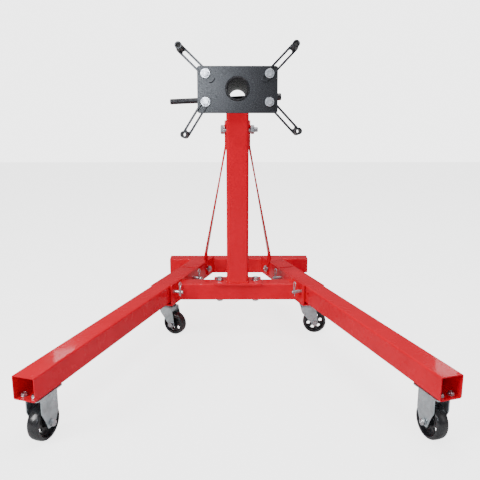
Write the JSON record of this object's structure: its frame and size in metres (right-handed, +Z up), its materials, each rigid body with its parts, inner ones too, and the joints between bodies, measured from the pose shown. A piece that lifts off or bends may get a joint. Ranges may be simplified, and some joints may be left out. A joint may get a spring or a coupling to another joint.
{
  "type": "engine stand",
  "caption": "Rolling engine stand with splayed folding legs, square mast, braces and a rotating head with slotted mounting arms.",
  "frame": {"origin": "centre of the bounding box's bottom face, on the floor", "axes": "+Z up, -Y towards the engine side, +X to the right"},
  "size_m": [0.9806, 1.0716, 0.9144],
  "materials": {
    "red_paint": "gloss",
    "black_paint": "satin",
    "zinc_plate": "satin",
    "cast_wheel": "satin"
  },
  "bodies": {
    "frame": {"cross_tube": "red_paint", "rear_bar": "red_paint", "mast_tube": "red_paint", "mast_foot_plate": "red_paint", "head_collar": "red_paint", "brace_top_bolt": "zinc_plate", "brace_top_nut": "zinc_plate", "left_rear_rail": "red_paint", "left_socket_inner_plate": "red_paint", "left_socket_outer_plate": "red_paint", "left_socket_floor": "red_paint", "left_brace": "red_paint", "left_brace_bolt": "zinc_plate", "left_foot_bolt": "zinc_plate", "left_foot_nut": "zinc_plate", "left_rear_caster_plate": "zinc_plate", "right_rear_rail": "red_paint", "right_socket_inner_plate": "red_paint", "right_socket_outer_plate": "red_paint", "right_socket_floor": "red_paint", "right_brace": "red_paint", "right_brace_bolt": "zinc_plate", "right_foot_bolt": "zinc_plate", "right_foot_nut": "zinc_plate", "right_rear_caster_plate": "zinc_plate"},
    "left_leg": {"left_leg": "red_paint", "left_front_yoke": "zinc_plate", "left_front_axle": "zinc_plate"},
    "left_front_wheel": {"left_front_wheel": "cast_wheel"},
    "left_rear_fork": {"left_rear_fork": "zinc_plate", "left_rear_axle": "zinc_plate"},
    "left_rear_wheel": {"left_rear_wheel": "cast_wheel"},
    "left_lock_pin": {"left_lock_pin": "zinc_plate"},
    "left_lock_clip": {"left_lock_clip": "zinc_plate"},
    "left_pivot_pin": {"left_pivot_pin": "zinc_plate"},
    "left_pivot_clip": {"left_pivot_clip": "zinc_plate"},
    "right_leg": {"right_leg": "red_paint", "right_front_yoke": "zinc_plate", "right_front_axle": "zinc_plate"},
    "right_front_wheel": {"right_front_wheel": "cast_wheel"},
    "right_rear_fork": {"right_rear_fork": "zinc_plate", "right_rear_axle": "zinc_plate"},
    "right_rear_wheel": {"right_rear_wheel": "cast_wheel"},
    "right_lock_pin": {"right_lock_pin": "zinc_plate"},
    "right_lock_clip": {"right_lock_clip": "zinc_plate"},
    "right_pivot_pin": {"right_pivot_pin": "zinc_plate"},
    "right_pivot_clip": {"right_pivot_clip": "zinc_plate"},
    "head": {"head_plate": "black_paint", "head_tube": "black_paint"},
    "handle_bar": {"handle_bar": "black_paint"},
    "head_lock_pin": {"head_lock_pin": "zinc_plate"},
    "bolt_upper_left": {"bolt_upper_left": "zinc_plate"},
    "arm_upper_left": {"arm_upper_left": "black_paint"},
    "bolt_upper_right": {"bolt_upper_right": "zinc_plate"},
    "arm_upper_right": {"arm_upper_right": "black_paint"},
    "bolt_lower_left": {"bolt_lower_left": "zinc_plate"},
    "arm_lower_left": {"arm_lower_left": "black_paint"},
    "bolt_lower_right": {"bolt_lower_right": "zinc_plate"},
    "arm_lower_right": {"arm_lower_right": "black_paint"}
  },
  "joints": [
    {"name": "left_leg_fold", "type": "hinge", "parent": "frame", "child": "left_leg", "pos_m": [-0.18879, 0.29535, 0.163], "axis": [-0.9495, 0.3138, 0], "range_deg": [0, 88]},
    {"name": "left_front_wheel_spin", "type": "hinge", "parent": "left_leg", "child": "left_front_wheel", "pos_m": [-0.44586, -0.4633, 0.0445], "axis": [0.9495, -0.3138, 0], "continuous": true},
    {"name": "left_rear_swivel", "type": "hinge", "parent": "frame", "child": "left_rear_fork", "pos_m": [-0.23153, 0.19152, 0.1], "axis": [0, 0, 1], "continuous": true},
    {"name": "left_rear_wheel_spin", "type": "hinge", "parent": "left_rear_fork", "child": "left_rear_wheel", "pos_m": [-0.20901, 0.17852, 0.0381], "axis": [0.5, 0.866, 0], "continuous": true},
    {"name": "left_lock_pin_pull", "type": "slide", "parent": "frame", "child": "left_lock_pin", "axis": [-0.9495, 0.3138, 0], "range_m": [0, 0.02]},
    {"name": "left_lock_clip_lift", "type": "slide", "parent": "left_lock_pin", "child": "left_lock_clip", "axis": [0, 0, 1], "range_m": [0, 0.045]},
    {"name": "left_pivot_pin_pull", "type": "slide", "parent": "frame", "child": "left_pivot_pin", "axis": [-0.9495, 0.3138, 0], "range_m": [0, 0.02]},
    {"name": "left_pivot_clip_lift", "type": "slide", "parent": "left_pivot_pin", "child": "left_pivot_clip", "axis": [0, 0, 1], "range_m": [0, 0.045]},
    {"name": "right_leg_fold", "type": "hinge", "parent": "frame", "child": "right_leg", "pos_m": [0.18879, 0.29535, 0.163], "axis": [-0.9495, -0.3138, 0], "range_deg": [0, 88]},
    {"name": "right_front_wheel_spin", "type": "hinge", "parent": "right_leg", "child": "right_front_wheel", "pos_m": [0.44586, -0.4633, 0.0445], "axis": [0.9495, 0.3138, 0], "continuous": true},
    {"name": "right_rear_swivel", "type": "hinge", "parent": "frame", "child": "right_rear_fork", "pos_m": [0.23153, 0.19152, 0.1], "axis": [0, 0, 1], "continuous": true},
    {"name": "right_rear_wheel_spin", "type": "hinge", "parent": "right_rear_fork", "child": "right_rear_wheel", "pos_m": [0.25753, 0.19107, 0.0381], "axis": [0.0175, 0.9998, 0], "continuous": true},
    {"name": "right_lock_pin_pull", "type": "slide", "parent": "frame", "child": "right_lock_pin", "axis": [0.9495, 0.3138, 0], "range_m": [0, 0.02]},
    {"name": "right_lock_clip_lift", "type": "slide", "parent": "right_lock_pin", "child": "right_lock_clip", "axis": [0, 0, 1], "range_m": [0, 0.045]},
    {"name": "right_pivot_pin_pull", "type": "slide", "parent": "frame", "child": "right_pivot_pin", "axis": [0.9495, 0.3138, 0], "range_m": [0, 0.02]},
    {"name": "right_pivot_clip_lift", "type": "slide", "parent": "right_pivot_pin", "child": "right_pivot_clip", "axis": [0, 0, 1], "range_m": [0, 0.045]},
    {"name": "head_turn", "type": "hinge", "parent": "frame", "child": "head", "pos_m": [0, 0.1888, 0.7787], "axis": [0, -0.9979, 0.0647], "continuous": true},
    {"name": "handle_bar_slide", "type": "slide", "parent": "head", "child": "handle_bar", "axis": [0.999, 0.0029, 0.0453], "range_m": [-0.085, 0.18]},
    {"name": "head_lock_pin_slide", "type": "slide", "parent": "frame", "child": "head_lock_pin", "axis": [0, 0.0647, 0.9979], "range_m": [-0.0095, 0.03]},
    {"name": "arm_upper_left_swing", "type": "hinge", "parent": "head", "child": "bolt_upper_left", "pos_m": [-0.088, -0.00819, 0.83156], "axis": [0, -0.9979, 0.0647], "range_deg": [-35, 35]},
    {"name": "arm_upper_left_slide", "type": "slide", "parent": "bolt_upper_left", "child": "arm_upper_left", "axis": [-0.7177, 0.0451, 0.6949], "range_m": [-0.012, 0.0177]},
    {"name": "arm_upper_right_swing", "type": "hinge", "parent": "head", "child": "bolt_upper_right", "pos_m": [0.088, -0.00819, 0.83156], "axis": [0, -0.9979, 0.0647], "range_deg": [-35, 35]},
    {"name": "arm_upper_right_slide", "type": "slide", "parent": "bolt_upper_right", "child": "arm_upper_right", "axis": [0.6912, 0.0468, 0.7211], "range_m": [-0.012, 0.0155]},
    {"name": "arm_lower_left_swing", "type": "hinge", "parent": "head", "child": "bolt_lower_left", "pos_m": [-0.088, -0.01311, 0.75572], "axis": [0, -0.9979, 0.0647], "range_deg": [-35, 35]},
    {"name": "arm_lower_left_slide", "type": "slide", "parent": "bolt_lower_left", "child": "arm_lower_left", "axis": [-0.5326, -0.0548, -0.8446], "range_m": [-0.012, 0.0058]},
    {"name": "arm_lower_right_swing", "type": "hinge", "parent": "head", "child": "bolt_lower_right", "pos_m": [0.088, -0.01311, 0.75572], "axis": [0, -0.9979, 0.0647], "range_deg": [-35, 35]},
    {"name": "arm_lower_right_slide", "type": "slide", "parent": "bolt_lower_right", "child": "arm_lower_right", "axis": [0.6839, -0.0472, -0.728], "range_m": [-0.012, 0.0013]}
  ]
}
